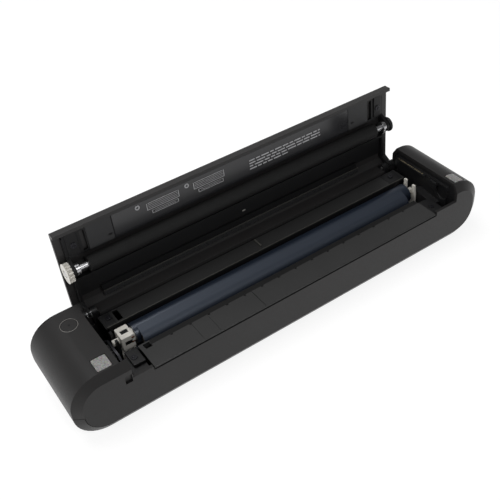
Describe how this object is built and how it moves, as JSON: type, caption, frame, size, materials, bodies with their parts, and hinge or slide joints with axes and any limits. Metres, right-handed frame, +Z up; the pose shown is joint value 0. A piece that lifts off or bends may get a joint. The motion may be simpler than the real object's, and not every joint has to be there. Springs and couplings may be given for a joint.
{
  "type": "receipt printer",
  "caption": "Portable page-width thermal-transfer printer shown with its lid standing open, with a platen roller in the lid, a sprung head, ribbon spools and a gear drive.",
  "frame": {"origin": "middle of the flat underside of the bottom cover", "axes": "+X along the printer to its right, +Y from the front to the back where the lid stands, +Z up"},
  "size_m": [0.31, 0.076, 0.0906],
  "materials": {
    "case_black": "fine satin black moulding",
    "frame_black": "black moulding",
    "label_black": "glossy black label film",
    "rubber_black": "matt black rubber",
    "film_blue": "glossy dark ribbon film",
    "white_plastic": "natural white moulding",
    "steel": "plated steel",
    "black_steel": "black oxide steel",
    "aluminium": "plain aluminium",
    "brass": "plain brass",
    "board_green": "green circuit board",
    "window_grey": "frosted light window with fine sparkle",
    "battery_wrap": "shrink wrapped cells",
    "ceramic": "glazed ceramic bar"
  },
  "bodies": {
    "case": {"upper_casing": "case_black", "bottom_cover": "case_black", "left_bulkhead": "frame_black", "right_bulkhead": "frame_black", "chassis": "frame_black", "left_shelf": "frame_black", "right_shelf": "frame_black", "guide_plate": "frame_black", "rear_deck": "frame_black", "left_hinge_bracket": "frame_black", "right_hinge_bracket": "frame_black", "left_spool_cradle": "frame_black", "rubber_foot_1": "rubber_black", "rubber_foot_2": "rubber_black", "rubber_foot_3": "rubber_black", "rubber_foot_4": "rubber_black", "ribbon_web": "film_blue", "right_spool_fork": "white_plastic", "left_shelf_screw": "black_steel", "right_shelf_screw": "black_steel", "left_deck_screw": "black_steel", "right_deck_screw": "black_steel", "gear_plate": "black_steel", "case_screw_1": "steel", "case_screw_2": "steel", "case_screw_3": "steel", "case_screw_4": "steel", "left_hinge_pin": "steel", "right_hinge_pin": "steel", "head_rail": "steel", "left_head_spring": "steel", "right_head_spring": "steel", "motor": "steel", "usb_port": "steel", "main_board": "board_green", "control_board": "board_green", "left_light_window": "window_grey", "right_light_window": "window_grey", "battery_pack": "battery_wrap"},
    "lid": {"lid_cover": "case_black", "lid_frame": "frame_black", "lid_label": "label_black", "left_lid_screw": "black_steel", "right_lid_screw": "black_steel", "left_platen_bearing": "steel", "right_platen_bearing": "steel", "platen_end_cap": "frame_black"},
    "platen": {"platen_rubber": "rubber_black", "platen_shaft": "steel", "platen_gear": "white_plastic"},
    "supply_spool": {"supply_core": "white_plastic", "supply_film": "film_blue"},
    "takeup_spool": {"takeup_core": "white_plastic", "takeup_film": "film_blue", "takeup_gear": "frame_black"},
    "drive_gear": {"drive_gear": "frame_black"},
    "motor_pinion": {"motor_pinion": "brass"},
    "head": {"print_head": "ceramic", "heatsink": "aluminium"},
    "power_button": {"power_button": "case_black"}
  },
  "joints": [
    {"name": "lid_hinge", "type": "hinge", "parent": "case", "child": "lid", "pos_m": [0, 0.0293, 0.033], "axis": [1, 0, 0], "range_deg": [0, 93]},
    {"name": "platen_spin", "type": "hinge", "parent": "lid", "child": "platen", "pos_m": [0, 0.0345, 0.06427], "axis": [1, 0, 0], "continuous": true},
    {"name": "supply_spin", "type": "hinge", "parent": "case", "child": "supply_spool", "pos_m": [0, 0.0042, 0.02541], "axis": [1, 0, 0], "continuous": true},
    {"name": "takeup_spin", "type": "hinge", "parent": "case", "child": "takeup_spool", "pos_m": [0, 0.006, 0.01042], "axis": [1, 0, 0], "continuous": true},
    {"name": "drive_gear_spin", "type": "hinge", "parent": "case", "child": "drive_gear", "pos_m": [0, -0.00379, 0.0225], "axis": [1, 0, 0], "continuous": true},
    {"name": "motor_pinion_spin", "type": "hinge", "parent": "case", "child": "motor_pinion", "pos_m": [0, -0.01519, 0.01679], "axis": [1, 0, 0], "continuous": true},
    {"name": "head_float", "type": "slide", "parent": "case", "child": "head", "axis": [0, 0, 1], "range_m": [-0.0009, 0], "stiffness_N_per_m": 2000, "springref_m": 0.002, "deforming": ["left_head_spring", "right_head_spring"]},
    {"name": "power_button_press", "type": "slide", "parent": "case", "child": "power_button", "axis": [0, 0, 1], "range_m": [-0.0006, 0], "stiffness_N_per_m": 800, "springref_m": 0.001}
  ],
  "couplings": [
    {"joint": "drive_gear_spin", "follows": "takeup_spin", "ratio": -0.83333},
    {"joint": "motor_pinion_spin", "follows": "takeup_spin", "ratio": 1.6667}
  ]
}
